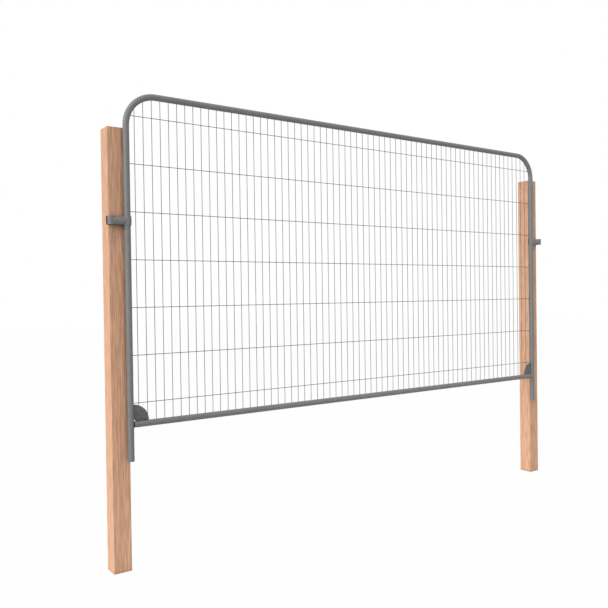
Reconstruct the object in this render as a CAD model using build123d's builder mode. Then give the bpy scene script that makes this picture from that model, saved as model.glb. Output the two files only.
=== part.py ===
"""A tree protection fence bay: a round-top wire mesh panel clamped in front of two square timber posts.

Millimetres. +X runs along the fence, +Z is up and the mesh panel faces -Y. The origin is the middle of
the base of the whole bay, so Z = 0 is the foot of the posts.
"""
import math
import os

from build123d import *

# Mesh panel frame
panel_width = 3470.0
panel_height = 2000.0
tube_diameter = 35.0
tube_wall = 1.5
bend_radius = 170.0
leg_projection = 197.5
weld_gap = 0.2

# Wire mesh, welded to the back of the frame
upright_wire_diameter = 3.5
row_wire_diameter = 3.5
upright_wire_count = 67
row_wire_count = 7
upright_margin = 55.0
row_margin = 112.5
wire_overrun = 8.0

# Quarter-round gusset plates in the bottom corners
gusset_radius = 90.0
gusset_set_back = 4.0
gusset_thickness = 4.0
gusset_snip = 10.0
gusset_relief = 3.0
gusset_toe = 17.0

# Timber posts
post_width = 100.0
post_length = 2400.0
post_arris = 2.0
post_below_legs = 600.0

# Two-seat clamps that hold the legs to the posts
clamp_drop = 703.0
seat_spacing = 93.0
seat_fit = 0.1
leg_seat_height = 54.0
open_seat_height = 46.0
leg_seat_bulge = 2.0
leg_seat_edge_radius = 1.5
shell_wall = 5.0
shell_gap = 21.0
neck_height = 45.0
neck_inset = 0.6

# Clamp fasteners
bolt_diameter = 10.0
bolt_length = 165.0
bolt_head_diameter = 20.0
bolt_head_height = 3.0
bolt_head_rim = 0.5
bolt_neck_depth = 8.0
bolt_tip_chamfer = 1.0
hole_clearance = 0.5
neck_clearance = 0.3
washer_diameter = 34.0
washer_thickness = 3.0
nut_across_flats = 17.0
nut_height = 8.4
nut_corner_rise = 1.2
nut_fit = 0.05

# Sizes that follow from the ones above
tube_radius = tube_diameter / 2
leg_x = panel_width / 2 - tube_radius
leg_foot_z = post_below_legs
panel_top_z = leg_foot_z + panel_height
top_rail_z = panel_top_z - tube_radius
bottom_rail_z = leg_foot_z + leg_projection
bend_centre_x = leg_x - bend_radius
bend_centre_z = top_rail_z - bend_radius

seat_radius = tube_radius + seat_fit
shell_radius = seat_radius + shell_wall
neck_depth = shell_radius - neck_inset
neck_half_height = neck_height / 2 / math.sqrt(1 - (shell_gap / 2 / neck_depth) ** 2)
post_x = leg_x + seat_spacing / 2
clamp_z = panel_top_z - clamp_drop

# Depths, with the panel set so that the base of the bay is centred on Y = 0
bolt_reach = bolt_length - neck_depth
panel_y = (shell_radius - bolt_reach) / 2
post_front_y = panel_y + shell_radius
post_back_y = post_front_y + post_width
upright_wire_y = panel_y + tube_radius + weld_gap + upright_wire_diameter / 2
row_wire_y = upright_wire_y - (upright_wire_diameter + row_wire_diameter) / 2

LEFT = -1
RIGHT = 1
SIDE_NAMES = {LEFT: "left", RIGHT: "right"}
FRONT = -1
REAR = 1


def upright_plane(y):
    """The upright plane at depth y, seen from the front: its own axes are X and Z, its normal is -Y."""
    return Plane.XZ.offset(-y)


def frame_top_at(x):
    """Height of the bent tube's axis above the place x along the fence."""
    past_bend = abs(x) - bend_centre_x
    if past_bend <= 0:
        return top_rail_z
    return bend_centre_z + math.sqrt(bend_radius**2 - past_bend**2)


def frame_inside_at(z, half_width):
    """Distance from the panel's middle to a line on the bent tube's inner side at the height z.

    The line runs along the tube at half_width from its axis, measured in the panel's plane.
    """
    past_bend = z - bend_centre_z
    if past_bend <= 0:
        return leg_x - half_width
    return bend_centre_x + math.sqrt((bend_radius - half_width) ** 2 - past_bend**2)


def keep(piece, name):
    """Name a finished piece and write it to its own file."""
    piece.part.label = name
    export_step(piece.part, f"parts/{name}.step")


def make_post(side):
    """A square timber post with eased edges and a hole for its clamp bolt."""
    with BuildPart() as post:
        with BuildSketch():
            with Locations((side * post_x, post_front_y + post_width / 2)):
                RectangleRounded(post_width, post_width, post_arris)
        extrude(amount=post_length)
        chamfer(post.faces().sort_by(Axis.Z)[-1].edges(), post_arris)
        with BuildSketch(upright_plane(post_back_y)):
            with Locations((side * post_x, clamp_z)):
                Circle(bolt_diameter / 2 + hole_clearance)
        extrude(amount=post_width, mode=Mode.SUBTRACT)
    keep(post, f"{SIDE_NAMES[side]}_post")


def make_frame_hoop():
    """Both legs, both bends and the top rail: one round tube."""
    with BuildPart() as hoop:
        with BuildLine(upright_plane(panel_y)):
            FilletPolyline(
                (-leg_x, leg_foot_z),
                (-leg_x, top_rail_z),
                (leg_x, top_rail_z),
                (leg_x, leg_foot_z),
                radius=bend_radius,
            )
        with BuildSketch(Plane.XY.offset(leg_foot_z)):
            with Locations((-leg_x, panel_y)):
                Circle(tube_radius)
                Circle(tube_radius - tube_wall, mode=Mode.SUBTRACT)
        sweep()
    keep(hoop, "frame_hoop")


def make_bottom_rail():
    """The plain-cut tube between the legs."""
    rail_end = leg_x - tube_radius - weld_gap
    with BuildPart() as rail:
        with BuildSketch(Plane.YZ.offset(-rail_end)):
            with Locations((panel_y, bottom_rail_z)):
                Circle(tube_radius)
                Circle(tube_radius - tube_wall, mode=Mode.SUBTRACT)
        extrude(amount=2 * rail_end)
    keep(rail, "bottom_rail")


def make_gusset(side):
    """A quarter-round plate between a leg and the bottom rail, with its arc struck from inside the leg.

    Its inner corner is snipped off, and its foot is relieved so that only the toe meets the rail.
    """
    inset = tube_radius + weld_gap
    corner = (side * (leg_x - inset), bottom_rail_z + inset)
    relief_length = gusset_radius - gusset_set_back - gusset_toe
    with BuildPart() as gusset:
        with BuildSketch(upright_plane(panel_y)):
            with Locations((corner[0] + side * gusset_set_back, corner[1])):
                Circle(gusset_radius)
            with Locations((corner[0] - side * gusset_radius / 2, corner[1] + gusset_radius / 2)):
                Rectangle(gusset_radius, gusset_radius, mode=Mode.INTERSECT)
            with Locations(Location(corner, 45)):
                Rectangle(gusset_snip * math.sqrt(2), gusset_snip * math.sqrt(2), mode=Mode.SUBTRACT)
            with Locations((corner[0] - side * relief_length / 2, corner[1] + gusset_relief / 2)):
                Rectangle(relief_length, gusset_relief, mode=Mode.SUBTRACT)
        extrude(amount=gusset_thickness / 2, both=True)
    keep(gusset, f"{SIDE_NAMES[side]}_gusset")


def make_upright_wires():
    """All the upright wires, cut to follow the frame's round corners."""
    first_x = leg_x - upright_margin
    pitch = 2 * first_x / (upright_wire_count - 1)
    foot_z = bottom_rail_z - wire_overrun
    with BuildPart() as wires:
        for index in range(upright_wire_count):
            x = -first_x + index * pitch
            with BuildSketch(Plane.XY.offset(foot_z)):
                with Locations((x, upright_wire_y)):
                    Circle(upright_wire_diameter / 2)
            extrude(amount=frame_top_at(x) + wire_overrun - foot_z)
    keep(wires, "upright_wires")


def make_row_wire(index):
    """One level wire across the uprights, counted from the top and cut to meet the legs."""
    pitch = (top_rail_z - bottom_rail_z - 2 * row_margin) / (row_wire_count - 1)
    z = top_rail_z - row_margin - index * pitch
    wire_front = row_wire_y - row_wire_diameter / 2 - panel_y
    leg_half_width = math.sqrt(tube_radius**2 - wire_front**2)
    wire_end = frame_inside_at(z + row_wire_diameter / 2, leg_half_width) - weld_gap
    with BuildPart() as wire:
        with BuildSketch(Plane.YZ.offset(-wire_end)):
            with Locations((row_wire_y, z)):
                Circle(row_wire_diameter / 2)
        extrude(amount=2 * wire_end)
    keep(wire, f"row_wire_{index + 1}")


def countersunk_corners(x, head_y, clearance):
    """Corners of half the bolt head's section, or of its hole's section with clearance all round.

    The rim stands proud of head_y by its own height, to be trimmed to the neck's round.
    """
    head_radius = bolt_head_diameter / 2 + clearance
    neck_radius = bolt_diameter / math.sqrt(2) + clearance
    return [
        (x, head_y - bolt_head_rim),
        (x + head_radius, head_y - bolt_head_rim),
        (x + head_radius, head_y + bolt_head_rim),
        (x + neck_radius, head_y + bolt_head_height),
        (x, head_y + bolt_head_height),
    ]


def make_clamp_shell(side, facing):
    """Half of a two-seat clamp: a barrel-shaped seat for the leg, an open seat and a half-round neck."""
    centre_x = side * post_x
    leg_seat_x = centre_x - side * seat_spacing / 2
    open_seat_x = centre_x + side * seat_spacing / 2
    bulge_radius = ((leg_seat_height / 2) ** 2 + leg_seat_bulge**2) / (2 * leg_seat_bulge)
    seat_wall_x = (seat_radius + shell_radius) / 2
    open_half_y = panel_y + facing * (shell_gap / 2 - shell_radius)
    with BuildPart() as shell:
        with BuildSketch(upright_plane(panel_y)) as barrel_wall:
            with Locations((leg_seat_x + seat_wall_x, clamp_z)):
                Rectangle(shell_wall, leg_seat_height)
            with Locations((leg_seat_x + shell_radius - bulge_radius, clamp_z)):
                Circle(bulge_radius, mode=Mode.INTERSECT)
            fillet(barrel_wall.vertices().group_by(Axis.X)[-1], leg_seat_edge_radius)
        revolve(axis=Axis((leg_seat_x, panel_y, 0), (0, 0, 1)))
        with BuildSketch(Plane.XY.offset(clamp_z - open_seat_height / 2)):
            with Locations((open_seat_x, panel_y)):
                Circle(shell_radius)
        extrude(amount=open_seat_height)
        with BuildSketch(Plane.YZ.offset(centre_x - seat_spacing / 2)):
            with Locations((panel_y, clamp_z)):
                Ellipse(neck_depth, neck_half_height)
                Ellipse(neck_depth - shell_wall, neck_half_height - shell_wall, mode=Mode.SUBTRACT)
        extrude(amount=seat_spacing)
        with BuildSketch(Plane.XY.offset(clamp_z - leg_seat_height / 2)):
            with Locations((leg_seat_x, panel_y), (open_seat_x, panel_y)):
                Circle(seat_radius)
            with Locations((centre_x, open_half_y)):
                Rectangle(seat_spacing + 2 * shell_radius, 2 * shell_radius)
        extrude(amount=leg_seat_height, mode=Mode.SUBTRACT)
        with BuildSketch(upright_plane(panel_y)):
            with Locations((centre_x, clamp_z)):
                if facing == FRONT:
                    Rectangle(bolt_diameter + 2 * neck_clearance, bolt_diameter + 2 * neck_clearance)
                else:
                    Circle(bolt_diameter / 2 + hole_clearance)
        extrude(amount=-facing * shell_radius, mode=Mode.SUBTRACT)
        if facing == FRONT:
            with BuildSketch(Plane.XY.offset(clamp_z)):
                Polygon(*countersunk_corners(centre_x, panel_y - neck_depth, neck_clearance), align=None)
            revolve(axis=Axis((centre_x, 0, clamp_z), (0, 1, 0)), mode=Mode.SUBTRACT)
    shell_name = "front" if facing == FRONT else "rear"
    keep(shell, f"{SIDE_NAMES[side]}_clamp_{shell_name}_shell")


def make_clamp_bolt(side):
    """A square-necked bolt right through the post, its sunk head rounded to lie flush in the clamp's neck."""
    head_y = panel_y - neck_depth
    centre = (side * post_x, clamp_z)
    with BuildPart() as bolt:
        with BuildSketch(Plane.XY.offset(clamp_z)):
            Polygon(*countersunk_corners(centre[0], head_y, 0), align=None)
        revolve(axis=Axis((centre[0], 0, clamp_z), (0, 1, 0)))
        with BuildSketch(Plane.YZ.offset(centre[0])):
            with Locations((panel_y, clamp_z)):
                Ellipse(neck_depth, neck_half_height)
        extrude(amount=bolt_head_diameter, both=True, mode=Mode.INTERSECT)
        with BuildSketch(upright_plane(head_y + bolt_head_height)):
            with Locations(centre):
                Rectangle(bolt_diameter, bolt_diameter)
        extrude(amount=bolt_head_height - bolt_neck_depth)
        with BuildSketch(upright_plane(head_y + bolt_head_height)):
            with Locations(centre):
                Circle(bolt_diameter / 2)
        extrude(amount=bolt_head_height - bolt_length)
        chamfer(bolt.faces().sort_by(Axis.Y)[-1].edges(), bolt_tip_chamfer)
    keep(bolt, f"{SIDE_NAMES[side]}_clamp_bolt")


def make_clamp_washer(side):
    """The wide washer between the nut and the back of the post."""
    centre = (side * post_x, clamp_z)
    with BuildPart() as washer:
        with BuildSketch(upright_plane(post_back_y)):
            with Locations(centre):
                Circle(washer_diameter / 2)
                Circle(bolt_diameter / 2 + hole_clearance, mode=Mode.SUBTRACT)
        extrude(amount=-washer_thickness)
    keep(washer, f"{SIDE_NAMES[side]}_clamp_washer")


def make_clamp_nut(side):
    """The hexagon nut behind the post, with its corners turned down at both faces."""
    near_y = post_back_y + washer_thickness
    far_y = near_y + nut_height
    centre = (side * post_x, clamp_z)
    corner_radius = nut_across_flats / math.sqrt(3)
    face_radius = nut_across_flats / 2
    with BuildPart() as nut:
        with BuildSketch(upright_plane(near_y)):
            with Locations(centre):
                RegularPolygon(corner_radius, 6)
        extrude(amount=-nut_height)
        with BuildSketch(Plane.XY.offset(clamp_z)):
            with BuildLine():
                Polyline(
                    (centre[0], near_y),
                    (centre[0] + face_radius, near_y),
                    (centre[0] + corner_radius, near_y + nut_corner_rise),
                    (centre[0] + corner_radius, far_y - nut_corner_rise),
                    (centre[0] + face_radius, far_y),
                    (centre[0], far_y),
                    close=True,
                )
            make_face()
        revolve(axis=Axis((centre[0], 0, clamp_z), (0, 1, 0)), mode=Mode.INTERSECT)
        with BuildSketch(upright_plane(near_y)):
            with Locations(centre):
                Circle(bolt_diameter / 2 + nut_fit)
        extrude(amount=-nut_height, mode=Mode.SUBTRACT)
    keep(nut, f"{SIDE_NAMES[side]}_clamp_nut")


def main():
    """Build every piece of the bay."""
    os.makedirs("parts", exist_ok=True)
    make_frame_hoop()
    make_bottom_rail()
    make_upright_wires()
    for index in range(row_wire_count):
        make_row_wire(index)
    for side in (LEFT, RIGHT):
        make_post(side)
        make_gusset(side)
        make_clamp_shell(side, FRONT)
        make_clamp_shell(side, REAR)
        make_clamp_bolt(side)
        make_clamp_washer(side)
        make_clamp_nut(side)


main()
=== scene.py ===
"""Looks of a tree protection fence bay: a round-top mesh panel clamped in front of two timber posts.

Lengths are in metres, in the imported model's own frame: +X runs along the fence, +Y from the mesh panel
to the posts behind it, and +Z is up. Colours are linear.
"""
import logging
import math
from collections.abc import Iterator
from dataclasses import dataclass, field
from enum import Enum

import bmesh
import bpy
from mathutils import Matrix, Vector


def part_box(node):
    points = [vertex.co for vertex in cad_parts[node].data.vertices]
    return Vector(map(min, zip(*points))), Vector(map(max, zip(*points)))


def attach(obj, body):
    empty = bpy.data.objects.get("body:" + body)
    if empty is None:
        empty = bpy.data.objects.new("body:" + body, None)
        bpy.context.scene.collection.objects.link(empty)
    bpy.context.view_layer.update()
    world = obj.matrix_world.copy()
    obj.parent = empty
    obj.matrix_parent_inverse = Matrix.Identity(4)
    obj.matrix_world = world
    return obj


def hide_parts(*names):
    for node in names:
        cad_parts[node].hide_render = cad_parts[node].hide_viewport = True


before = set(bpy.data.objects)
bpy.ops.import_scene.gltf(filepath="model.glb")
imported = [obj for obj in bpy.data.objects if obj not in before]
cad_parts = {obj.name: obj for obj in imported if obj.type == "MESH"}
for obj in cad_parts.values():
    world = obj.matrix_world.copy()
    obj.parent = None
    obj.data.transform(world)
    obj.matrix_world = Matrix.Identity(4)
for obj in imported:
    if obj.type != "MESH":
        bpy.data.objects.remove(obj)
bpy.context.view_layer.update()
LOG = logging.getLogger("fence_bay")

Colour = tuple[float, float, float]
Triple = tuple[float, float, float]
Range = tuple[float, float]
Run = tuple[Vector, Vector]
Shape = bmesh.types.BMesh
Material = bpy.types.Material
Node = bpy.types.Node
NodeTree = bpy.types.NodeTree
Socket = bpy.types.NodeSocket
Value = float | tuple | Socket

FULL_TURN = 2 * math.pi
BOLT_AXIS = (0, 1, 0)
WHITE = (1.0, 1.0, 1.0, 1.0)
NOISE_MIDDLE = (0.5, 0.5, 0.5)
ACROSS_GRAIN = (1.0, 1.0, 0.0)
# Painted shade of this reach doesn't show, while a reach of 0 would have no limit.
NO_REACH = 0.001


class Side(Enum):
    """The two ends of the bay, with the sign of their X."""

    LEFT = -1
    RIGHT = 1

    @property
    def label(self) -> str:
        """The side's word in piece and node names."""
        return self.name.lower()


def grey(level: float) -> Colour:
    """Return the neutral colour of a level."""
    return (level, level, level)


def opaque(colour: Colour) -> tuple[float, float, float, float]:
    """Return a colour with full alpha."""
    return (*colour, 1.0)


@dataclass(frozen=True)
class NoiseScale:
    """How fine a noise is.

    Attributes:
        stretch: features per metre along X, Y and Z.
        detail: octaves of finer noise on top.
    """

    stretch: Triple
    detail: float


class ShaderSketch:
    """Adds and links the nodes of one material or node group."""

    def __init__(self, tree: NodeTree) -> None:
        """Work on tree, which starts empty."""
        self.tree = tree
        self.tree.nodes.clear()

    def node(self, kind: str, inputs: dict[str | int, Value] | None = None, **options: object) -> Node:
        """Add a node.

        Args:
            kind: the node's type name.
            inputs: what goes into each input, by name or place. A socket is linked, a value is set.
            options: the node's own settings.

        Returns:
            The new node.
        """
        made = self.tree.nodes.new(kind)
        for name, choice in options.items():
            setattr(made, name, choice)
        for key, value in (inputs or {}).items():
            if isinstance(value, Socket):
                self.tree.links.new(value, made.inputs[key])
            else:
                made.inputs[key].default_value = value
        return made

    def group(self, tree: NodeTree, inputs: dict[str, Value]) -> Node:
        """Add a shared node group with its inputs and return the node."""
        return self.node("ShaderNodeGroup", inputs, node_tree=tree)

    def math(self, operation: str, first: Value, second: Value = 0.0) -> Socket:
        """Add a Math node on two values and return its result."""
        return self.node("ShaderNodeMath", {0: first, 1: second}, operation=operation).outputs[0]

    def vector_math(self, operation: str, first: Value, second: Value = (0.0, 0.0, 0.0)) -> Node:
        """Add a Vector Math node on two vectors and return the node."""
        return self.node("ShaderNodeVectorMath", {0: first, 1: second}, operation=operation)

    def noise(self, place: Socket, scale: NoiseScale) -> Node:
        """Add a noise of a scale, read at place, and return the node."""
        scaled = self.vector_math("MULTIPLY", place, scale.stretch).outputs[0]
        return self.node("ShaderNodeTexNoise", {"Vector": scaled, "Scale": 1.0, "Detail": scale.detail})

    def span(self, value: Value, low: Value, high: Value, source: Range = (0.0, 1.0)) -> Socket:
        """Map value from the source range onto low to high and return the result."""
        ends = {"From Min": source[0], "From Max": source[1], "To Min": low, "To Max": high}
        return self.node("ShaderNodeMapRange", {"Value": value, **ends}).outputs[0]

    def mix(self, share: Value, first: Value, second: Value, blend: str = "MIX") -> Socket:
        """Mix two colours by share and return the result."""
        inputs = {0: share, 6: first, 7: second}
        return self.node("ShaderNodeMix", inputs, data_type="RGBA", blend_type=blend).outputs[2]


class NodeGroupDraft:
    """A shader node group under construction, with its named sockets."""

    def __init__(self, name: str, inputs: dict[str, str], outputs: dict[str, str]) -> None:
        """Open a group.

        Args:
            name: the group's name.
            inputs: socket types by input name.
            outputs: socket types by output name.
        """
        self.tree = bpy.data.node_groups.new(name, "ShaderNodeTree")
        self.sketch = ShaderSketch(self.tree)
        for socket, kind in inputs.items():
            self.tree.interface.new_socket(name=socket, in_out="INPUT", socket_type=kind)
        for socket, kind in outputs.items():
            self.tree.interface.new_socket(name=socket, in_out="OUTPUT", socket_type=kind)
        self.inputs = self.sketch.node("NodeGroupInput").outputs

    def close(self, results: dict[str, Socket]) -> NodeTree:
        """Link the results to the group's outputs and return the group."""
        self.sketch.node("NodeGroupOutput", dict(results))
        return self.tree


@dataclass(frozen=True)
class ZincMottle:
    """The mottle of a zinc coat: spangle cells, soft clouds and fine grit.

    Attributes:
        clouds: scale of the clouds.
        grit: scale of the grit.
        spangle_share: share of the spangle cells in the shade.
        cloud_share: share of the clouds in it.
        grit_share: share of the grit in it.
    """

    clouds: NoiseScale = NoiseScale((9.0, 9.0, 6.0), 3.0)
    grit: NoiseScale = NoiseScale((700.0, 700.0, 700.0), 2.0)
    spangle_share: float = 0.35
    cloud_share: float = 0.45
    grit_share: float = 0.2

    def group(self) -> NodeTree:
        """Build the node group.

        Returns:
            A group that turns a place and a cell count per metre into Shade and Grit, both from 0 to 1.
        """
        draft = NodeGroupDraft(
            "zinc_mottle",
            {"Place": "NodeSocketVector", "Cells": "NodeSocketFloat"},
            {"Shade": "NodeSocketFloat", "Grit": "NodeSocketFloat"},
        )
        sketch, place = draft.sketch, draft.inputs["Place"]
        cells = sketch.node("ShaderNodeTexVoronoi", {"Vector": place, "Scale": draft.inputs["Cells"]})
        spangle = sketch.node("ShaderNodeSeparateColor", {0: cells.outputs["Color"]}).outputs[0]
        cloud = sketch.noise(place, self.clouds).outputs[0]
        grit = sketch.noise(place, self.grit).outputs[0]
        cell_part = sketch.math("MULTIPLY", spangle, self.spangle_share)
        cloud_part = sketch.math("MULTIPLY", cloud, self.cloud_share)
        grit_part = sketch.math("MULTIPLY", grit, self.grit_share)
        shade = sketch.math("ADD", sketch.math("ADD", cell_part, cloud_part), grit_part)
        return draft.close({"Shade": shade, "Grit": grit})


@dataclass(frozen=True)
class PaintedRecessShade:
    """Painted shade, from ambient occlusion, in a piece's own hollows and where pieces meet.

    Attributes:
        hollow_range: how open a hollow is where it is fully shaded and where it is unshaded.
        contact_range: the same for a contact.
    """

    hollow_range: Range = (0.5, 0.95)
    contact_range: Range = (0.15, 0.9)

    def group(self) -> NodeTree:
        """Build the node group.

        Returns:
            A group that turns the reach of hollows and of contacts into Unshaded, the mask of the painted
            shade, from 0 in the deepest to 1 in the open.
        """
        draft = NodeGroupDraft(
            "recess_painted_shade",
            {"Hollow": "NodeSocketFloat", "Contact": "NodeSocketFloat"},
            {"Unshaded": "NodeSocketFloat"},
        )
        sketch, kind = draft.sketch, "ShaderNodeAmbientOcclusion"
        # Ambient occlusion, which the finishes paint into their colour as shade.
        hollow = sketch.node(kind, {"Distance": draft.inputs["Hollow"]}, only_local=True)
        contact = sketch.node(kind, {"Distance": draft.inputs["Contact"]})
        bore_light = sketch.span(hollow.outputs["AO"], 0.0, 1.0, self.hollow_range)
        joint_light = sketch.span(contact.outputs["AO"], 0.0, 1.0, self.contact_range)
        return draft.close({"Unshaded": sketch.math("MINIMUM", bore_light, joint_light)})


@dataclass(frozen=True)
class TimberFigure:
    """The figure of sawn softwood: growth rings round a pith, fibres and slow changes of tone.

    Attributes:
        drift: scale of the stem's slow bends.
        sway: how far those bends carry the rings along X, Y and Z.
        wander: scale of the rings' small waves.
        wander_depth: height of those waves.
        late_rise: how steeply the late wood darkens towards the end of a ring.
        fibres: scale of the fibres.
        streaks: scale of the streaks.
        tones: scale of the changes of tone.
    """

    drift: NoiseScale = NoiseScale((2.0, 2.0, 0.9), 1.0)
    sway: Triple = (0.05, 0.05, 0.0)
    wander: NoiseScale = NoiseScale((60.0, 60.0, 5.0), 2.0)
    wander_depth: float = 0.004
    late_rise: float = 3.0
    fibres: NoiseScale = NoiseScale((520.0, 520.0, 6.0), 4.0)
    streaks: NoiseScale = NoiseScale((170.0, 170.0, 9.0), 5.0)
    tones: NoiseScale = NoiseScale((55.0, 55.0, 1.1), 2.0)

    def group(self) -> NodeTree:
        """Build the node group.

        Returns:
            A group that turns a place, measured from the pith, and the gap between rings into Late,
            Fibre, Streak and Tone, all from 0 to 1.
        """
        draft = NodeGroupDraft(
            "timber_figure",
            {"Place": "NodeSocketVector", "Ring Gap": "NodeSocketFloat"},
            {name: "NodeSocketFloat" for name in ("Late", "Fibre", "Streak", "Tone")},
        )
        sketch, place = draft.sketch, draft.inputs["Place"]
        drift = sketch.noise(place, self.drift).outputs["Color"]
        centred = sketch.vector_math("SUBTRACT", drift, NOISE_MIDDLE).outputs[0]
        sway = sketch.vector_math("MULTIPLY", centred, self.sway).outputs[0]
        wander = sketch.noise(place, self.wander).outputs[0]
        across = sketch.vector_math("MULTIPLY", place, ACROSS_GRAIN).outputs[0]
        swayed = sketch.vector_math("ADD", across, sway).outputs[0]
        radius = sketch.vector_math("LENGTH", swayed).outputs["Value"]
        uneven = sketch.math("ADD", radius, sketch.math("MULTIPLY", wander, self.wander_depth))
        phase = sketch.math("FRACT", sketch.math("DIVIDE", uneven, draft.inputs["Ring Gap"]))
        return draft.close({
            "Late": sketch.math("POWER", phase, self.late_rise),
            "Fibre": sketch.noise(place, self.fibres).outputs[0],
            "Streak": sketch.noise(place, self.streaks).outputs[0],
            "Tone": sketch.noise(place, self.tones).outputs[0],
        })


@dataclass(frozen=True)
class SharedEffects:
    """The node groups that the finishes share.

    Attributes:
        zinc: mottle of a zinc coat.
        timber: figure of sawn softwood.
        painted_shade: painted shade in hollows and at contacts.
    """

    zinc: NodeTree
    timber: NodeTree
    painted_shade: NodeTree


@dataclass(frozen=True)
class SteelFinish:
    """A zinc-coated steel surface.

    Attributes:
        name: the material's name.
        dull: colour of the darkest mottle.
        bright: colour of the lightest mottle.
        roughness: lowest and highest roughness.
        cells: spangle cells per metre.
        grit_depth: height of the fine grit.
        metallic: how much of a bare metal it is.
        hollow: reach of the painted shade in the piece's own hollows.
        contact: reach of the painted shade where pieces meet.
        shadow_tone: colour of the painted shade.
    """

    name: str
    dull: Colour
    bright: Colour
    roughness: Range
    cells: float
    grit_depth: float
    metallic: float = 0.1
    hollow: float = NO_REACH
    contact: float = NO_REACH
    shadow_tone: Colour = grey(0.02)

    def material(self, effects: SharedEffects) -> Material:
        """Make the material.

        Args:
            effects: the shared node groups.

        Returns:
            The new material.
        """
        made = bpy.data.materials.new(self.name)
        made.use_nodes = True
        sketch = ShaderSketch(made.node_tree)
        place = sketch.node("ShaderNodeTexCoord").outputs["Object"]
        mottle = sketch.group(effects.zinc, {"Place": place, "Cells": self.cells})
        # Painted shade in hollows and at contacts darkens the base colour towards the shadow tone.
        painted_shade = sketch.group(effects.painted_shade, {"Hollow": self.hollow, "Contact": self.contact})
        shade, grit = mottle.outputs["Shade"], mottle.outputs["Grit"]
        coat = sketch.mix(shade, opaque(self.dull), opaque(self.bright))
        bump = sketch.node("ShaderNodeBump", {"Distance": self.grit_depth, "Height": grit})
        surface = sketch.node("ShaderNodeBsdfPrincipled", {
            "Base Color": sketch.mix(painted_shade.outputs["Unshaded"], opaque(self.shadow_tone), coat),
            "Roughness": sketch.span(shade, self.roughness[1], self.roughness[0]),
            "Metallic": self.metallic,
            "Normal": bump.outputs[0],
        })
        sketch.node("ShaderNodeOutputMaterial", {"Surface": surface.outputs[0]})
        return made


# The hollow and contact reaches set where painted shade from ambient occlusion darkens each finish: in the
# tubes' bores and where pieces meet.
TUBE = SteelFinish(
    "galvanised_tube", dull=grey(0.172), bright=grey(0.260), roughness=(0.42, 0.62),
    cells=90.0, grit_depth=0.00006, hollow=0.04)
# The gussets and their welds get a darker copy of the tube finish, as painted shade.
PLATE = SteelFinish(
    "galvanised_plate", dull=grey(0.055), bright=grey(0.225), roughness=(0.42, 0.62),
    cells=90.0, grit_depth=0.00006, contact=0.010)
WIRE = SteelFinish(
    "galvanised_wire", dull=grey(0.10), bright=grey(0.17), roughness=(0.42, 0.60),
    cells=350.0, grit_depth=0.00003)
# The level wires get a darker copy of the wire finish, as painted shade.
SHADED_ROW_WIRE = SteelFinish(
    "galvanised_row_wire_shaded", dull=grey(0.035), bright=grey(0.06), roughness=(0.46, 0.64),
    cells=350.0, grit_depth=0.00003)
PRESSED = SteelFinish(
    "galvanised_pressing", dull=grey(0.172), bright=grey(0.252), roughness=(0.40, 0.60),
    cells=140.0, grit_depth=0.00006, contact=0.030)
# The rear shells get a darker copy of the pressing finish, as painted shade.
SHADED_PRESSING = SteelFinish(
    "shade_darkened_pressing", dull=grey(0.07), bright=grey(0.13), roughness=(0.45, 0.65),
    cells=140.0, grit_depth=0.00006, contact=0.030)
PLATED = SteelFinish(
    "zinc_plate", dull=grey(0.18), bright=grey(0.27), roughness=(0.34, 0.50),
    cells=400.0, grit_depth=0.00002, metallic=0.4, contact=0.008)


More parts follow.
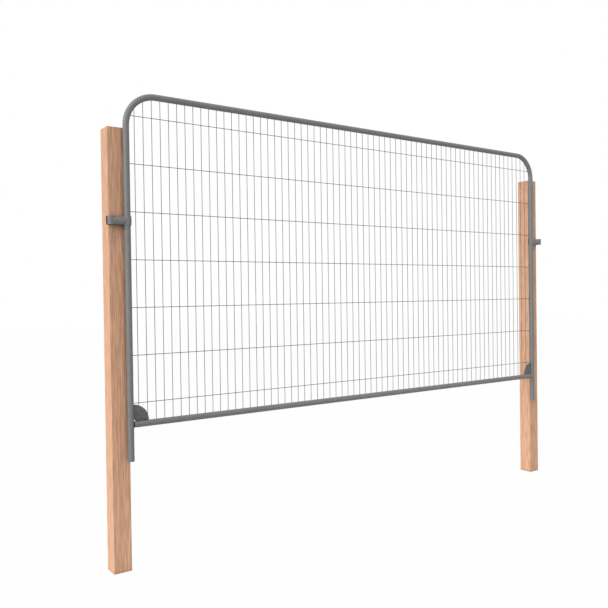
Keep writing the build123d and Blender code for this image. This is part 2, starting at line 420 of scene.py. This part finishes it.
@dataclass(frozen=True)
class TimberFinish:
    """A sawn softwood post.

    Attributes:
        name: the material's name.
        post_middle: the post's own middle, which the figure is measured from.
        pith: where the tree's pith lies beside the post's middle.
        early: colour of the pale early wood.
        late: colour of the darker late wood.
        blush: colour of the warmer stretches.
        dark_streak: the darkest streak, as shares of the plain colour.
        light_streak: the lightest streak, as shares of the plain colour.
        ring_gap: distance between growth rings.
        ring_share: share of the late wood's colour in the rings, on the sides and on the ends.
        fibre_share: share of the late wood's colour in the darkest fibres.
        fibre_range: noise at which fibres start to darken and are darkest.
        tone_range: noise at which the blush starts and is full.
        streak_range: noise of the darkest and of the lightest streak.
        end_range: upward or downward tilt at which end grain starts and is full.
        end_share: share of the late wood's colour all over the ends.
        fibre_depth: height of the raised fibres.
        ring_relief: height of the late wood, as a share of the fibres'.
        roughness: roughness between the fibres and on them.
        gloss: strength of its reflections.
        hollow: reach of the painted shade in the post's own hollows.
        contact: reach of the painted shade where other pieces come close.
        shadow_tone: share of its colour that the timber keeps under the painted shade.
        height_tone: share of the plain colour at the foot and at the head of the post, lighter at the foot
            and darker at the head.
        height_tone_run: height that this change of tone runs over.
    """

    name: str
    post_middle: Triple
    pith: Range
    early: Colour = (0.83, 0.49, 0.31)
    late: Colour = (0.57, 0.31, 0.18)
    blush: Colour = (0.81, 0.455, 0.29)
    dark_streak: Colour = (0.76, 0.68, 0.65)
    light_streak: Colour = (1.24, 1.33, 1.38)
    ring_gap: float = 0.0055
    ring_share: Range = (0.7, 0.9)
    fibre_share: float = 0.45
    fibre_range: Range = (0.45, 0.75)
    tone_range: Range = (0.4, 0.65)
    streak_range: Range = (0.3, 0.7)
    end_range: Range = (0.6, 0.9)
    end_share: float = 0.35
    fibre_depth: float = 0.0003
    ring_relief: float = 0.5
    roughness: Range = (0.55, 0.78)
    gloss: float = 0.2
    hollow: float = NO_REACH
    contact: float = 0.025
    shadow_tone: float = 0.55
    height_tone: Range = (1.07, 0.92)
    height_tone_run: float = 2.4

    def end_grain(self, sketch: ShaderSketch) -> Socket:
        """Find the post's sawn ends.

        Args:
            sketch: the material's nodes.

        Returns:
            1 on the ends and 0 on the sides.
        """
        normal = sketch.node("ShaderNodeNewGeometry").outputs["Normal"]
        facing = sketch.node("ShaderNodeSeparateXYZ", {0: normal}).outputs["Z"]
        return sketch.span(sketch.math("ABSOLUTE", facing), 0.0, 1.0, self.end_range)

    def grain_colour(self, sketch: ShaderSketch, figure: Node) -> Socket:
        """Colour the fresh timber.

        Args:
            sketch: the material's nodes.
            figure: the timber's figure.

        Returns:
            The colour with rings, fibres, streaks and tone.
        """
        end_grain = self.end_grain(sketch)
        late_wood = opaque(self.late)
        rings = sketch.math("MULTIPLY", figure.outputs["Late"], sketch.span(end_grain, *self.ring_share))
        fibres = sketch.span(figure.outputs["Fibre"], 0.0, self.fibre_share, self.fibre_range)
        blush = sketch.span(figure.outputs["Tone"], 0.0, 1.0, self.tone_range)
        streak = sketch.span(figure.outputs["Streak"], 0.0, 1.0, self.streak_range)
        warmed = sketch.mix(blush, opaque(self.early), opaque(self.blush))
        tint = sketch.mix(streak, opaque(self.dark_streak), opaque(self.light_streak))
        streaked = sketch.mix(1.0, warmed, tint, "MULTIPLY")
        grained = sketch.mix(sketch.math("MAXIMUM", rings, fibres), streaked, late_wood)
        return sketch.mix(sketch.math("MULTIPLY", end_grain, self.end_share), grained, late_wood)

    def material(self, effects: SharedEffects) -> Material:
        """Make the material.

        Args:
            effects: the shared node groups.

        Returns:
            The new material.
        """
        made = bpy.data.materials.new(self.name)
        made.use_nodes = True
        sketch = ShaderSketch(made.node_tree)
        pith = (self.post_middle[0] + self.pith[0], self.post_middle[1] + self.pith[1], 0.0)
        place = sketch.node("ShaderNodeTexCoord").outputs["Object"]
        shifted = sketch.node("ShaderNodeMapping", {"Vector": place, "Location": tuple(-v for v in pith)})
        figure = sketch.group(effects.timber, {"Place": shifted.outputs[0], "Ring Gap": self.ring_gap})
        painted_shade = sketch.group(effects.painted_shade, {"Hollow": self.hollow, "Contact": self.contact})
        late, fibre = figure.outputs["Late"], figure.outputs["Fibre"]

        # The timber's colour runs lighter towards the foot and darker towards the head.
        height = sketch.node("ShaderNodeSeparateXYZ", {0: place}).outputs["Z"]
        fade = sketch.span(height, *self.height_tone, (0.0, self.height_tone_run))
        height_toned = sketch.mix(1.0, self.grain_colour(sketch, figure), fade, "MULTIPLY")
        # Painted shade where other pieces come close to the post.
        shade_factor = sketch.span(painted_shade.outputs["Unshaded"], self.shadow_tone, 1.0)
        relief = sketch.math("ADD", fibre, sketch.math("MULTIPLY", late, self.ring_relief))
        bump = sketch.node("ShaderNodeBump", {"Distance": self.fibre_depth, "Height": relief})
        surface = sketch.node("ShaderNodeBsdfPrincipled", {
            "Base Color": sketch.mix(1.0, height_toned, shade_factor, "MULTIPLY"),
            "Roughness": sketch.span(fibre, *self.roughness),
            "Specular IOR Level": self.gloss,
            "Normal": bump.outputs[0],
        })
        sketch.node("ShaderNodeOutputMaterial", {"Surface": surface.outputs[0]})
        return made


def dress(node_name: str, material: Material) -> None:
    """Give a CAD node a material in all its slots.

    Args:
        node_name: the node.
        material: its finish.
    """
    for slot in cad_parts[node_name].material_slots:
        slot.material = material
    LOG.info("dressed %s in %s", node_name, material.name)


def add_piece(name: str, shape: Shape, material: Material, body: str) -> bpy.types.Object:
    """Turn a finished bmesh into a piece of the object.

    Args:
        name: the piece's name.
        shape: its mesh, in place, which is freed.
        material: its finish.
        body: the CAD body that carries it.

    Returns:
        The new object.
    """
    bmesh.ops.recalc_face_normals(shape, faces=shape.faces)
    for face in shape.faces:
        face.smooth = True
    mesh = bpy.data.meshes.new(name)
    shape.to_mesh(mesh)
    shape.free()
    mesh.materials.append(material)
    piece = bpy.data.objects.new(name, mesh)
    bpy.context.scene.collection.objects.link(piece)
    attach(piece, body)
    LOG.info("built %s with %d faces", name, len(mesh.polygons))
    return piece


def add_nugget(shape: Shape, middle: Vector, radii: Triple) -> None:
    """Add one small blob of weld metal, a squashed ball, to shape."""
    place = Matrix.Translation(middle) @ Matrix.Diagonal((*radii, 1.0))
    bmesh.ops.create_icosphere(shape, subdivisions=1, radius=1.0, matrix=place)


@dataclass(frozen=True)
class WeldBead:
    """A straight weld bead with ripples and closed, tapered ends.

    Attributes:
        radius: its half width.
        ripple: length of one ripple.
        sides: flat sides round the bead.
        end_width: width at its ends, as a share of its full width.
        waist: width between two ripples, as the same share.
    """

    radius: float = 0.0026
    ripple: float = 0.0032
    sides: int = 8
    end_width: float = 0.4
    waist: float = 0.82

    def lay(self, shape: Shape, start: Vector, end: Vector) -> None:
        """Add the bead to a mesh.

        Args:
            shape: the mesh that takes it.
            start: where it begins.
            end: where it stops.
        """
        run = end - start
        steps = 2 * max(2, round(run.length / self.ripple))
        place = Matrix.Translation(start) @ run.to_track_quat("Z", "Y").to_matrix().to_4x4()
        ring = bmesh.ops.create_circle(
            shape, cap_ends=True, segments=self.sides, radius=self.end_width * self.radius, matrix=place)
        rim = list(dict.fromkeys(edge for vertex in ring["verts"] for edge in vertex.link_edges))
        width = self.end_width
        for step in range(1, steps + 1):
            wanted = self.end_width if step == steps else 1.0 if step % 2 else self.waist
            grown = bmesh.ops.extrude_edge_only(shape, edges=rim)["geom"]
            corners = [item for item in grown if isinstance(item, bmesh.types.BMVert)]
            rim = [item for item in grown if isinstance(item, bmesh.types.BMEdge)]
            middle = start + run * ((step - 1) / steps)
            factor = wanted / width
            bmesh.ops.scale(shape, vec=(factor,) * 3, verts=corners, space=Matrix.Translation(-middle))
            bmesh.ops.translate(shape, vec=run / steps, verts=corners)
            width = wanted
        bmesh.ops.edgeloop_fill(shape, edges=rim)


@dataclass
class MeshPanel:
    """The mesh panel: a bent tube, a bottom rail, two gussets and a welded wire mesh.

    Attributes:
        tube: finish of the tubes.
        plate: finish of the gussets and their welds, darker than the tubes' as painted shade.
        wire: finish of the upright wires and the wires' welds.
        row_wire: finish of the level wires, darker than the uprights' as painted shade.
        upright_count: upright wires across the panel.
        row_count: level wires.
        bend_radius: radius of the tube's axis in the round corners.
        cross_weld: half sizes of the metal squeezed out where two wires cross.
        end_weld: half sizes of the weld between a wire's end and the tube.
        bead: the welds on gussets and rail.
        bead_rise: how far a bead's middle stands off the gusset, in its radii.
        snip_share: height left free at a gusset's snipped corner, as a share of the gusset's height.
        heel_share: the same along its foot, as a share of that height.
        peak_share: the same at its upper end, as a share of that height.
        rail_arc: arc of the rail's round that each of its short welds spans, in degrees.
        rail_start: how far behind the tubes' axes those welds begin.
        rail_lean: how far they lean towards the leg, as a share of their fall.
        body: the CAD body that carries the panel.
        rows: names of the level wires' nodes, from the top.
        tube_radius: half of the tubes' diameter.
        panel_y: Y of the tubes' axes.
        leg_x: X of the right leg's axis.
        top_z: height of the top rail's axis.
        rail_z: height of the bottom rail's axis.
        rail_end: X of the bottom rail's right end.
        last_upright: X of the last upright wire's axis.
        wire_front: Y of the upright wires' fronts.
    """

    tube: Material
    plate: Material
    wire: Material
    row_wire: Material
    upright_count: int = 67
    row_count: int = 7
    bend_radius: float = 0.170
    cross_weld: Triple = (0.0029, 0.0014, 0.0029)
    end_weld: Triple = (0.0034, 0.0016, 0.0060)
    bead: WeldBead = WeldBead()
    bead_rise: float = 0.4
    snip_share: float = 0.12
    heel_share: float = 0.7
    peak_share: float = 0.5
    rail_arc: float = 40.0
    rail_start: float = 0.004
    rail_lean: float = 0.6
    body: str = "panel"
    rows: list[str] = field(init=False)
    tube_radius: float = field(init=False)
    panel_y: float = field(init=False)
    leg_x: float = field(init=False)
    top_z: float = field(init=False)
    rail_z: float = field(init=False)
    rail_end: float = field(init=False)
    last_upright: float = field(init=False)
    wire_front: float = field(init=False)

    def __post_init__(self) -> None:
        """Read the panel's places from the frame."""
        self.rows = [f"row_wire_{index + 1}" for index in range(self.row_count)]
        hoop_low, hoop_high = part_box("frame_hoop")
        rail_low, rail_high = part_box("bottom_rail")
        wires_low, wires_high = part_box("upright_wires")
        self.tube_radius = (rail_high.z - rail_low.z) / 2
        self.panel_y = (hoop_low.y + hoop_high.y) / 2
        self.leg_x = hoop_high.x - self.tube_radius
        self.top_z = hoop_high.z - self.tube_radius
        self.rail_z = (rail_low.z + rail_high.z) / 2
        self.rail_end = rail_high.x
        self.last_upright = wires_high.x - (wires_high.y - wires_low.y) / 2
        self.wire_front = wires_low.y

    def upright_places(self) -> list[float]:
        """X of every upright wire, from left to right."""
        pitch = 2 * self.last_upright / (self.upright_count - 1)
        return [-self.last_upright + index * pitch for index in range(self.upright_count)]

    def hoop_height(self, x: float) -> float:
        """Find how high the bent tube passes.

        Args:
            x: where along the fence.

        Returns:
            Height of the tube's axis there.
        """
        past_bend = abs(x) - (self.leg_x - self.bend_radius)
        if past_bend <= 0:
            return self.top_z
        return self.top_z - self.bend_radius + math.sqrt(self.bend_radius**2 - past_bend**2)

    def build_cross_welds(self) -> None:
        """Weld every crossing of an upright and a level wire."""
        shape = bmesh.new()
        for row in self.rows:
            low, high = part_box(row)
            for x in self.upright_places():
                if abs(x) < high.x:
                    add_nugget(shape, Vector((x, self.wire_front, (low.z + high.z) / 2)), self.cross_weld)
        add_piece("mesh_cross_welds", shape, self.wire, self.body)

    def build_end_welds(self) -> None:
        """Weld the ends of all the wires to the backs of the tubes."""
        shape = bmesh.new()
        tube_back = self.panel_y + self.tube_radius
        for x in self.upright_places():
            for z in (self.rail_z, self.hoop_height(x)):
                add_nugget(shape, Vector((x, tube_back, z)), self.end_weld)
        across, _, along = self.end_weld
        for row in self.rows:
            low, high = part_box(row)
            for end in (low.x, high.x):
                middle = Vector((end, (low.y + high.y) / 2, (low.z + high.z) / 2))
                add_nugget(shape, middle, (along / 2, across, across))
        add_piece("mesh_end_welds", shape, self.wire, self.body)

    def gusset_beads(self, side: Side) -> Iterator[Run]:
        """Place the welds behind one gusset: along the leg, and along its relieved foot to the toe.

        Args:
            side: which gusset.

        Yields:
            Start and end of each weld.
        """
        low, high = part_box(f"{side.label}_gusset")
        leg_edge, toe_edge = (low.x, high.x) if side is Side.LEFT else (high.x, low.x)
        behind = high.y + self.bead_rise * self.bead.radius
        snip = self.snip_share * (high.z - low.z)
        heel = leg_edge - side.value * self.heel_share * snip
        peak = high.z - self.peak_share * snip
        yield Vector((leg_edge, behind, low.z + snip)), Vector((leg_edge, behind, peak))
        yield Vector((heel, behind, low.z)), Vector((toe_edge, behind, low.z))

    def rail_beads(self, side: Side) -> Iterator[Run]:
        """Place the two short welds behind the joint of the rail and one leg.

        Args:
            side: which leg.

        Yields:
            Start and end of each weld.
        """
        arc = math.radians(self.rail_arc)
        reach = self.tube_radius * math.sin(arc)
        fall = self.tube_radius * (1 - math.cos(arc))
        x, y = side.value * self.rail_end, self.panel_y + self.rail_start
        for lift in (-1, 1):
            inner = Vector((x, y, self.rail_z + lift * self.tube_radius))
            yield inner, inner + Vector((side.value * fall * self.rail_lean, reach, -lift * fall))

    def build_frame_welds(self) -> None:
        """Weld the gussets and the bottom rail to the legs."""
        shape = bmesh.new()
        for side in Side:
            for start, end in (*self.gusset_beads(side), *self.rail_beads(side)):
                self.bead.lay(shape, start, end)
        add_piece("frame_welds", shape, self.plate, self.body)

    def build(self) -> None:
        """Dress the panel's nodes and add its welds."""
        for node in ("frame_hoop", "bottom_rail"):
            dress(node, self.tube)
        for side in Side:
            dress(f"{side.label}_gusset", self.plate)
        dress("upright_wires", self.wire)
        for node in self.rows:
            dress(node, self.row_wire)
        self.build_cross_welds()
        self.build_end_welds()
        self.build_frame_welds()


@dataclass
class TimberPost:
    """One square timber post.

    Attributes:
        side: which end of the bay it stands at.
        pith: where its tree's pith lies beside the post's middle.
    """

    side: Side
    pith: Range

    def build(self, effects: SharedEffects) -> None:
        """Dress the post in its own piece of timber.

        Args:
            effects: the shared node groups.
        """
        node = f"{self.side.label}_post"
        low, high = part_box(node)
        finish = TimberFinish(f"{self.side.label}_timber", tuple((low + high) / 2), self.pith)
        dress(node, finish.material(effects))


@dataclass
class FlushBolt:
    """A clamp's bolt: a flush, rounded head, a square neck, a shank and a cut thread.

    Attributes:
        side: which post it goes through.
        plated: its finish.
        diameter: its nominal diameter.
        head_height: depth of the head's cone.
        head_rim: height of the head's straight rim.
        head_rings: rings of faces across the head's front.
        crown_half: half height of the clamp's round neck, which the head's front follows.
        crown_rounds: rounds in which the head's rim settles on both its cone and its crown.
        square_depth: depth of the square neck below the front of the head.
        threaded: length of the threaded tail, up to the tip.
        pitch: lead of the thread.
        thread_depth: from the thread's crest to its root.
        crest_inset: how far the crest stays inside the nominal size.
        flank: length of each flank of the thread, in pitches.
        crest_flat: length of the flat on its crest, in pitches.
        thread_steps: straight steps in one turn of the thread.
        round_steps: straight steps round the turned form.
        merge_gap: distance below which points of the turned form or of the thread are one.
        head_radius: half of the head's width.
        axis_x: X of the bolt's axis.
        axis_z: height of its axis.
        head_y: Y of the head's front.
        tip_y: Y of the tip.
        crown_depth: from the head's front to the tubes' axes, which the clamp's neck is round about.
    """

    side: Side
    plated: Material
    diameter: float = 0.010
    head_height: float = 0.0030
    head_rim: float = 0.0005
    head_rings: int = 6
    crown_half: float = 0.02560
    crown_rounds: int = 3
    square_depth: float = 0.0080
    threaded: float = 0.045
    pitch: float = 0.0015
    thread_depth: float = 0.0009
    crest_inset: float = 0.00005
    flank: float = 0.4
    crest_flat: float = 0.15
    thread_steps: int = 16
    round_steps: int = 32
    merge_gap: float = 0.000002
    head_radius: float = field(init=False)
    axis_x: float = field(init=False)
    axis_z: float = field(init=False)
    head_y: float = field(init=False)
    tip_y: float = field(init=False)
    crown_depth: float = field(init=False)

    def __post_init__(self) -> None:
        """Read the bolt's place from the frame."""
        low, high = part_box(f"{self.side.label}_clamp_bolt")
        self.head_radius = (high.x - low.x) / 2
        self.axis_x = (low.x + high.x) / 2
        self.axis_z = (low.z + high.z) / 2
        self.head_y = low.y
        self.tip_y = high.y
        hoop_low, hoop_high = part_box("frame_hoop")
        self.crown_depth = (hoop_low.y + hoop_high.y) / 2 - self.head_y

    @property
    def root_radius(self) -> float:
        """Radius of the thread's root, which is the bolt's core there."""
        return self.diameter / 2 - self.crest_inset - self.thread_depth

    @property
    def neck_radius(self) -> float:
        """Half of the square neck's diagonal."""
        return self.diameter / math.sqrt(2)

    def ring_point(self, radius: float, y: float) -> Vector:
        """A point at radius from the bolt's axis, level with it, at depth y."""
        return Vector((self.axis_x + radius, y, self.axis_z))

    def spoke(self, vertex: bmesh.types.BMVert) -> Vector:
        """The way from the bolt's axis straight out to a vertex."""
        return Vector((vertex.co.x - self.axis_x, 0.0, vertex.co.z - self.axis_z))

    def draw(self, shape: Shape, outline: list[Range]) -> list[bmesh.types.BMVert | bmesh.types.BMEdge]:
        """Draw an outline beside the bolt's axis, by radius and depth, and return its points and lines."""
        points = [shape.verts.new(self.ring_point(radius, y)) for radius, y in outline]
        return points + [shape.edges.new(pair) for pair in zip(points, points[1:])]

    def turn_body(self, shape: Shape) -> None:
        """Turn the head, the shank and the core of the thread.

        Args:
            shape: the empty mesh that takes the turned form.
        """
        shank = self.diameter / 2
        thread_y = self.tip_y - self.threaded
        under_head = self.head_y + self.head_height
        chamfer = self.pitch / 2
        rings = [self.head_radius * ring / self.head_rings for ring in range(self.head_rings + 1)]
        outline = [(radius, self.head_y) for radius in rings] + [
            (self.head_radius, self.head_y + self.head_rim),
            (self.neck_radius, under_head),
            (shank, under_head),
            (shank, thread_y - self.pitch),
            (self.root_radius, thread_y),
            (self.root_radius, self.tip_y - chamfer),
            (self.root_radius - chamfer, self.tip_y),
            (0.0, self.tip_y),
        ]
        bmesh.ops.spin(
            shape, geom=self.draw(shape, outline), cent=self.ring_point(0.0, 0.0), axis=BOLT_AXIS,
            angle=FULL_TURN, steps=self.round_steps, use_merge=True)

    def crown_head(self, shape: Shape) -> None:
        """Round the turned head's front so that it lies flush with the clamp's neck.

        Args:
            shape: the mesh with the turned form.
        """
        for vertex in shape.verts:
            depth = vertex.co.y - self.head_y
            if depth >= self.head_height:
                continue
            spoke = self.spoke(vertex)
            for _ in range(self.crown_rounds):
                fall = 1 - math.sqrt(1 - (spoke.z / self.crown_half) ** 2)
                depth = max(depth, self.crown_depth * fall)
                cone = (depth - self.head_rim) / (self.head_height - self.head_rim)
                limit = self.head_radius - max(0.0, cone) * (self.head_radius - self.neck_radius)
                if spoke.length > limit:
                    spoke *= limit / spoke.length
            vertex.co = self.ring_point(0.0, self.head_y + depth) + spoke
        bmesh.ops.remove_doubles(shape, verts=shape.verts, dist=self.merge_gap)

    def add_square_neck(self, shape: Shape) -> None:
        """Add the square neck under the head.

        Args:
            shape: the mesh that takes it.
        """
        neck = self.square_depth - self.head_height
        middle = (self.axis_x, self.head_y + self.square_depth - neck / 2, self.axis_z)
        size = Matrix.Diagonal((self.diameter, neck, self.diameter, 1.0))
        bmesh.ops.create_cube(shape, size=1.0, matrix=Matrix.Translation(middle) @ size)

    def cut_thread(self, shape: Shape) -> None:
        """Wind the thread round the tail, one turn short of the tip, with a run-out at both ends.

        Args:
            shape: the mesh that takes the thread.
        """
        root, crest = self.root_radius, self.root_radius + self.thread_depth
        # The profile is one turn long itself, and one more turn stays free at the tip.
        turns = round(self.threaded / self.pitch) - 2
        start_y = self.tip_y - self.threaded
        end_y = start_y + (turns + 1) * self.pitch
        far_flank = self.flank + self.crest_flat
        profile = [
            (root, 0.0), (crest, self.flank), (crest, far_flank), (root, far_flank + self.flank), (root, 1.0)]
        before = set(shape.verts)
        geom = self.draw(shape, [(radius, start_y + share * self.pitch) for radius, share in profile])
        bmesh.ops.spin(
            shape, geom=geom, cent=self.ring_point(0.0, 0.0), axis=BOLT_AXIS,
            dvec=(0, self.pitch / self.thread_steps, 0), angle=FULL_TURN * turns,
            steps=self.thread_steps * turns)
        wound = [vertex for vertex in shape.verts if vertex not in before]
        for vertex in wound:
            spoke = self.spoke(vertex)
            run_out = min(vertex.co.y - start_y, end_y - vertex.co.y) / self.pitch
            radius = min(spoke.length, root + self.thread_depth * max(0.0, run_out))
            vertex.co = self.ring_point(0.0, vertex.co.y) + spoke.normalized() * radius
        bmesh.ops.remove_doubles(shape, verts=wound, dist=self.merge_gap)
        self.close_thread(shape, start_y, end_y)

    def close_thread(self, shape: Shape, start_y: float, end_y: float) -> None:
        """Close the thread's two open ends towards the bolt's axis, inside the core.

        Args:
            shape: the mesh with the thread.
            start_y: Y where the thread begins.
            end_y: Y where it stops.
        """
        middle_y = (start_y + end_y) / 2
        open_rims = [edge for edge in shape.edges if edge.is_boundary]
        for y, rim in (
            (start_y + self.pitch, [edge for edge in open_rims if edge.verts[0].co.y < middle_y]),
            (end_y - self.pitch, [edge for edge in open_rims if edge.verts[0].co.y > middle_y]),
        ):
            for edge in rim:
                edge.smooth = False
            grown = bmesh.ops.extrude_edge_only(shape, edges=rim)["geom"]
            inner = [item for item in grown if isinstance(item, bmesh.types.BMVert)]
            bmesh.ops.pointmerge(shape, verts=inner, merge_co=self.ring_point(0.0, y))

    def build(self) -> None:
        """Model the bolt and put it in the place of its plain solid."""
        shape = bmesh.new()
        self.turn_body(shape)
        self.crown_head(shape)
        self.add_square_neck(shape)
        self.cut_thread(shape)
        name, body = f"{self.side.label}_threaded_bolt", f"{self.side.label}_jaw"
        bolt = add_piece(name, shape, self.plated, body)
        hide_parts(f"{self.side.label}_clamp_bolt")


@dataclass
class TwoSeatClamp:
    """One clamp: two pressed shells, the bolt through the post, its washer and its nut.

    Attributes:
        side: which post it is on.
        pressed: finish of the front shell.
        backing: finish of the rear shell, a darker copy of the front shell's that paints the shade it stands
            in.
        plated: finish of the fasteners.
    """

    side: Side
    pressed: Material
    backing: Material
    plated: Material

    def build(self) -> None:
        """Dress the clamp's nodes and add the threaded bolt."""
        dress(f"{self.side.label}_clamp_front_shell", self.pressed)
        dress(f"{self.side.label}_clamp_rear_shell", self.backing)
        for fastener in ("washer", "nut"):
            dress(f"{self.side.label}_clamp_{fastener}", self.plated)
        FlushBolt(self.side, self.plated).build()


@dataclass
class Studio:
    """A pale floor, soft light from the left and the camera.

    Attributes:
        camera_place: where the camera stands.
        heading: turn of the camera about +Z, in degrees; 0 looks along +Y.
        tilt: tilt of the camera from straight down, in degrees.
        roll: turn of the camera about its own line of sight, in degrees.
        lens: focal length in millimetres, on a sensor 36 mm wide.
        floor_size: length of the floor's sides.
        floor_white: share of plain white in the floor that the camera sees.
        floor_shade: share of the light that the floor sends back to the object.
        horizon: brightness of the surroundings at eye level.
        zenith: brightness of the surroundings overhead.
        key_turn: direction that the key light comes from, in degrees from +X.
        key_height: height of the key light above the horizon, in degrees.
        key_power: strength of the key light.
        key_spread: apparent size of the key light, in degrees.
    """

    camera_place: Triple = (-3.1171, -3.6922, 1.4865)
    heading: float = -35.107
    tilt: float = 89.255
    roll: float = -0.779
    lens: float = 41.518
    floor_size: float = 60.0
    floor_white: float = 0.98
    floor_shade: float = 0.42
    horizon: float = 0.2
    zenith: float = 1.04
    key_turn: float = 190.0
    key_height: float = 20.0
    key_power: float = 2.51
    key_spread: float = 90.0

    def build_camera(self) -> None:
        """Set the camera at the photograph's viewpoint."""
        data = bpy.data.cameras.new("camera")
        data.sensor_fit = "HORIZONTAL"
        data.lens = self.lens
        camera = bpy.data.objects.new("camera", data)
        heading = Matrix.Rotation(math.radians(self.heading), 4, "Z")
        tilt = Matrix.Rotation(math.radians(self.tilt), 4, "X")
        roll = Matrix.Rotation(math.radians(self.roll), 4, "Z")
        camera.matrix_world = Matrix.Translation(self.camera_place) @ heading @ tilt @ roll
        bpy.context.scene.collection.objects.link(camera)
        bpy.context.scene.camera = camera

    def seen_share(self, sketch: ShaderSketch) -> Socket:
        """Tell the rays that see the background from those that only light the object.

        Args:
            sketch: the nodes of the floor or the surroundings.

        Returns:
            1 where a ray sees the background directly, in a reflection or through glass, and 0 elsewhere.
        """
        path = sketch.node("ShaderNodeLightPath").outputs
        mirrored = sketch.math("MAXIMUM", path["Is Glossy Ray"], path["Is Transmission Ray"])
        return sketch.math("MAXIMUM", path["Is Camera Ray"], mirrored)

    def build_floor(self) -> None:
        """Lay the floor, white to the camera but still taking the object's shadow."""
        shape = bmesh.new()
        bmesh.ops.create_grid(shape, x_segments=1, y_segments=1, size=self.floor_size / 2)
        mesh = bpy.data.meshes.new("floor")
        shape.to_mesh(mesh)
        shape.free()
        material = bpy.data.materials.new("pale_floor")
        material.use_nodes = True
        sketch = ShaderSketch(material.node_tree)
        matt = sketch.node("ShaderNodeBsdfDiffuse", {"Color": opaque(grey(self.floor_shade))})
        white = sketch.node("ShaderNodeEmission", {"Color": WHITE, "Strength": 1.0})
        share = sketch.math("MULTIPLY", self.seen_share(sketch), self.floor_white)
        mixed = sketch.node("ShaderNodeMixShader", {0: share, 1: matt.outputs[0], 2: white.outputs[0]})
        sketch.node("ShaderNodeOutputMaterial", {"Surface": mixed.outputs[0]})
        mesh.materials.append(material)
        floor = bpy.data.objects.new("floor", mesh)
        bpy.context.scene.collection.objects.link(floor)

    def build_surroundings(self) -> None:
        """Set the pale surroundings, brighter overhead than at eye level and white where they are seen."""
        world = bpy.data.worlds.new("surroundings")
        world.use_nodes = True
        bpy.context.scene.world = world
        sketch = ShaderSketch(world.node_tree)
        direction = sketch.node("ShaderNodeTexCoord").outputs["Generated"]
        upward = sketch.node("ShaderNodeSeparateXYZ", {0: direction}).outputs["Z"]
        glow = sketch.span(upward, self.horizon, self.zenith)
        strength = sketch.span(self.seen_share(sketch), glow, 1.0)
        pale = sketch.node("ShaderNodeBackground", {"Color": WHITE, "Strength": strength})
        sketch.node("ShaderNodeOutputWorld", {"Surface": pale.outputs[0]})

    def build_key_light(self) -> None:
        """Light the bay softly from the left."""
        sun = bpy.data.lights.new("key_light", "SUN")
        sun.energy = self.key_power
        sun.angle = math.radians(self.key_spread)
        key = bpy.data.objects.new("key_light", sun)
        turn, height = math.radians(self.key_turn), math.radians(self.key_height)
        level = math.cos(height)
        towards = Vector((math.cos(turn) * level, math.sin(turn) * level, math.sin(height)))
        key.matrix_world = towards.to_track_quat("Z", "Y").to_matrix().to_4x4()
        bpy.context.scene.collection.objects.link(key)

    def build(self) -> None:
        """Set the whole studio."""
        bpy.context.scene.view_settings.view_transform = "Standard"
        self.build_camera()
        self.build_floor()
        self.build_surroundings()
        self.build_key_light()


def main() -> None:
    """Build the bay's looks, piece by piece."""
    logging.basicConfig(level=logging.INFO, format="%(name)s: %(message)s")
    effects = SharedEffects(ZincMottle().group(), TimberFigure().group(), PaintedRecessShade().group())
    panel_finishes = [finish.material(effects) for finish in (TUBE, PLATE, WIRE, SHADED_ROW_WIRE)]
    clamp_finishes = [finish.material(effects) for finish in (PRESSED, SHADED_PRESSING, PLATED)]
    MeshPanel(*panel_finishes).build()
    TimberPost(Side.LEFT, pith=(0.085, 0.135)).build(effects)
    TimberPost(Side.RIGHT, pith=(-0.12, -0.16)).build(effects)
    for side in Side:
        TwoSeatClamp(side, *clamp_finishes).build()
    Studio().build()


if __name__ == "__main__":
    main()
